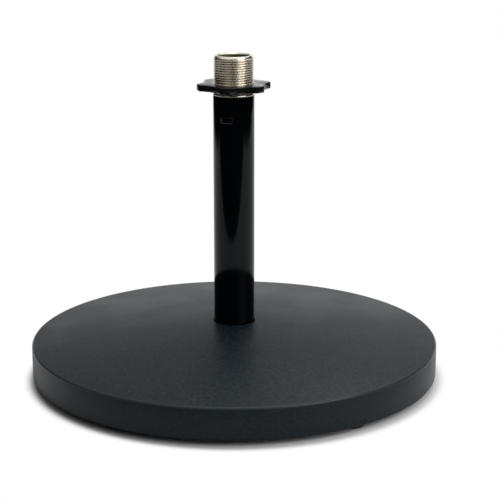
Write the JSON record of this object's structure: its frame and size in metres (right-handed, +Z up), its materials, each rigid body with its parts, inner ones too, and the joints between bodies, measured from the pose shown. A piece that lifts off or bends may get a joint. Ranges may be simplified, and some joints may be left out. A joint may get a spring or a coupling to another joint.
{
  "type": "desktop microphone stand",
  "caption": "Desktop microphone stand: a weighted round base with a shallow conical top, a short upright tube and a hollow threaded bush that carries a lobed lock nut.",
  "frame": {"origin": "on the table, under the tube's axis, at the bottom of the rubber feet", "axes": "+Z up along the tube, -Y towards the viewer of the picture, +X to the viewer's right"},
  "size_m": [0.165, 0.165, 0.1309],
  "materials": {
    "base_coat": "black satin coat with a fine texture",
    "tube_gloss": "smooth gloss black",
    "nickel": "bright nickel plating, slightly warm",
    "nut_black": "moulded black with a low gloss",
    "zinc": "bright zinc plating",
    "spring_steel": "plain spring steel",
    "plug_steel": "turned steel",
    "foot_rubber": "matt black rubber"
  },
  "bodies": {
    "stand": {"base_casting": "base_coat", "stand_tube": "tube_gloss", "tube_plug": "plug_steel", "thread_bush": "nickel", "clamp_bolt": "zinc", "spring_washer": "spring_steel", "flat_washer": "zinc", "rubber_foot_1": "foot_rubber", "rubber_foot_2": "foot_rubber", "rubber_foot_3": "foot_rubber", "rubber_foot_4": "foot_rubber", "rubber_foot_5": "foot_rubber"},
    "lock_nut_ring": {"lock_nut_ring": "nickel"},
    "lock_nut_grip": {"lock_nut_grip": "nut_black"}
  },
  "joints": [
    {"name": "lock_nut_climb", "type": "slide", "parent": "stand", "child": "lock_nut_ring", "axis": [0, 0, 1], "range_m": [0, 0.0098]},
    {"name": "lock_nut_turn", "type": "hinge", "parent": "lock_nut_ring", "child": "lock_nut_grip", "pos_m": [0, 0, 0.1185], "axis": [0, 0, 1], "range_deg": [0, 3750]}
  ],
  "couplings": [
    {"joint": "lock_nut_climb", "follows": "lock_nut_turn", "m_per_rad": 0.00014972}
  ]
}
